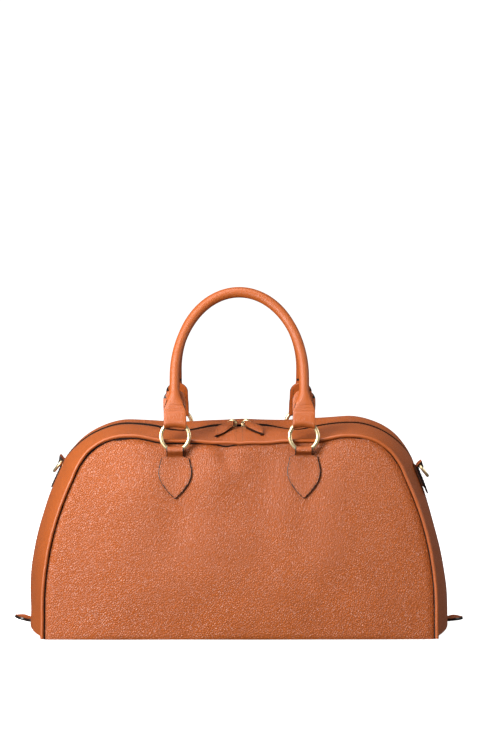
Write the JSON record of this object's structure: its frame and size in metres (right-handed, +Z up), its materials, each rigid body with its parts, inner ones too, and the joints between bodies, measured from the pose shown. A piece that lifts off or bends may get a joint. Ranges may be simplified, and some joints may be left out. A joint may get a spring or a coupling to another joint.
{
  "type": "weekender bag",
  "caption": "Arched leather weekender bag with rolled handles on rings, a double-slider zip round the top and ends, piping and end rings.",
  "frame": {"origin": "centre of the base, on the surface that the bag stands on", "axes": "+X along the bag's width, to the right seen from the front; -Y towards the front; +Z up"},
  "size_m": [0.5682, 0.207, 0.4286],
  "materials": {
    "leather": "pebbled cognac leather with a soft sheen, dark painted cut edges",
    "lining": "plain woven cotton lining",
    "zip_tape": "fine black woven tape",
    "zip_teeth": "black coil teeth",
    "gold_metal": "polished pale gold plating",
    "stiffener": "plain stiffening board",
    "backing": "undyed backing leather",
    "handle_cord": "twisted cotton cord"
  },
  "bodies": {
    "bag": {"front_panel": "leather", "back_panel": "leather", "base_panel": "leather", "base_board": "stiffener", "gusset_front_left": "leather", "gusset_front_right": "leather", "gusset_back_left": "leather", "gusset_back_right": "leather", "front_piping": "leather", "back_piping": "leather", "side_zip_tape_left": "zip_tape", "side_zip_tape_right": "zip_tape", "side_zip_teeth_left": "zip_teeth", "side_zip_teeth_right": "zip_teeth", "zip_end_tab_left": "leather", "zip_end_tab_right": "leather", "handle_tab_front_left": "leather", "handle_tab_front_right": "leather", "handle_tab_back_left": "leather", "handle_tab_back_right": "leather", "tab_backing_front": "backing", "tab_backing_back": "backing", "d_ring_tab_left": "leather", "d_ring_tab_right": "leather", "base_lining": "lining", "front_lining": "lining", "back_lining": "lining", "side_lining_left": "lining", "side_lining_right": "lining", "slip_pocket": "lining", "zip_pocket_bag": "lining", "zip_pocket_frame": "leather", "zip_pocket_zip": "zip_teeth"},
    "front_flap": {"top_gusset_front": "leather", "zip_tape_front": "zip_tape", "zip_teeth_front": "zip_teeth", "top_lining_front": "lining"},
    "back_flap": {"top_gusset_back": "leather", "zip_tape_back": "zip_tape", "zip_teeth_back": "zip_teeth", "top_lining_back": "lining"},
    "slider_left": {"slider_left": "gold_metal"},
    "slider_right": {"slider_right": "gold_metal"},
    "pull_left": {"pull_ring_left": "gold_metal", "zip_pull_left": "leather"},
    "pull_right": {"pull_ring_right": "gold_metal", "zip_pull_right": "leather"},
    "ring_front_left": {"handle_ring_front_left": "gold_metal"},
    "ring_front_right": {"handle_ring_front_right": "gold_metal"},
    "ring_back_left": {"handle_ring_back_left": "gold_metal"},
    "ring_back_right": {"handle_ring_back_right": "gold_metal"},
    "handle_front": {"handle_cover_front": "leather", "handle_core_front": "handle_cord", "handle_ends_front": "leather"},
    "handle_back": {"handle_cover_back": "leather", "handle_core_back": "handle_cord", "handle_ends_back": "leather"},
    "d_ring_left": {"d_ring_left": "gold_metal"},
    "d_ring_right": {"d_ring_right": "gold_metal"}
  },
  "joints": [
    {"name": "left_zip_slide", "type": "slide", "parent": "bag", "child": "slider_left", "axis": [-1, 0, 0], "range_m": [0, 0.122]},
    {"name": "right_zip_slide", "type": "slide", "parent": "bag", "child": "slider_right", "axis": [1, 0, 0], "range_m": [0, 0.122]},
    {"name": "front_mouth_fold", "type": "hinge", "parent": "bag", "child": "front_flap", "pos_m": [0, -0.07, 0.24386], "axis": [1, 0, 0], "range_deg": [0, 48], "deforming": ["top_gusset_front", "zip_tape_front", "zip_teeth_front", "top_lining_front"]},
    {"name": "back_mouth_fold", "type": "hinge", "parent": "bag", "child": "back_flap", "pos_m": [0, 0.07, 0.24386], "axis": [-1, 0, 0], "range_deg": [0, 48], "deforming": ["top_gusset_back", "zip_tape_back", "zip_teeth_back", "top_lining_back"]},
    {"name": "left_pull_turn", "type": "hinge", "parent": "slider_left", "child": "pull_left", "pos_m": [-0.009, 0, 0.25906], "axis": [-1, 0, 0], "range_deg": [0, 160]},
    {"name": "right_pull_turn", "type": "hinge", "parent": "slider_right", "child": "pull_right", "pos_m": [0.009, 0, 0.25906], "axis": [-1, 0, 0], "range_deg": [0, 160]},
    {"name": "front_left_ring_turn", "type": "hinge", "parent": "bag", "child": "ring_front_left", "pos_m": [-0.079, -0.07935, 0.23126], "axis": [1, 0, 0], "range_deg": [0, 100]},
    {"name": "front_right_ring_turn", "type": "hinge", "parent": "bag", "child": "ring_front_right", "pos_m": [0.079, -0.07935, 0.23126], "axis": [1, 0, 0], "range_deg": [0, 100]},
    {"name": "front_handle_turn", "type": "hinge", "parent": "ring_front_left", "child": "handle_front", "pos_m": [0, -0.07512, 0.2656], "axis": [1, 0, 0], "range_deg": [0, 84]},
    {"name": "back_left_ring_turn", "type": "hinge", "parent": "bag", "child": "ring_back_left", "pos_m": [-0.079, 0.07935, 0.23126], "axis": [-1, 0, 0], "range_deg": [0, 100]},
    {"name": "back_right_ring_turn", "type": "hinge", "parent": "bag", "child": "ring_back_right", "pos_m": [0.079, 0.07935, 0.23126], "axis": [-1, 0, 0], "range_deg": [0, 100]},
    {"name": "back_handle_turn", "type": "hinge", "parent": "ring_back_left", "child": "handle_back", "pos_m": [0, 0.07512, 0.2656], "axis": [-1, 0, 0], "range_deg": [0, 84]},
    {"name": "left_d_ring_turn", "type": "hinge", "parent": "bag", "child": "d_ring_left", "pos_m": [-0.22662, 0.025, 0.20558], "axis": [0, 1, 0], "range_deg": [0, 100]},
    {"name": "right_d_ring_turn", "type": "hinge", "parent": "bag", "child": "d_ring_right", "pos_m": [0.22662, -0.025, 0.20558], "axis": [0, -1, 0], "range_deg": [0, 100]}
  ],
  "couplings": [
    {"joint": "right_zip_slide", "follows": "left_zip_slide", "ratio": 1},
    {"joint": "front_mouth_fold", "follows": "left_zip_slide", "rad_per_m": 6.8668},
    {"joint": "back_mouth_fold", "follows": "left_zip_slide", "rad_per_m": 6.8668},
    {"joint": "front_right_ring_turn", "follows": "front_left_ring_turn", "ratio": 1},
    {"joint": "back_right_ring_turn", "follows": "back_left_ring_turn", "ratio": 1}
  ]
}
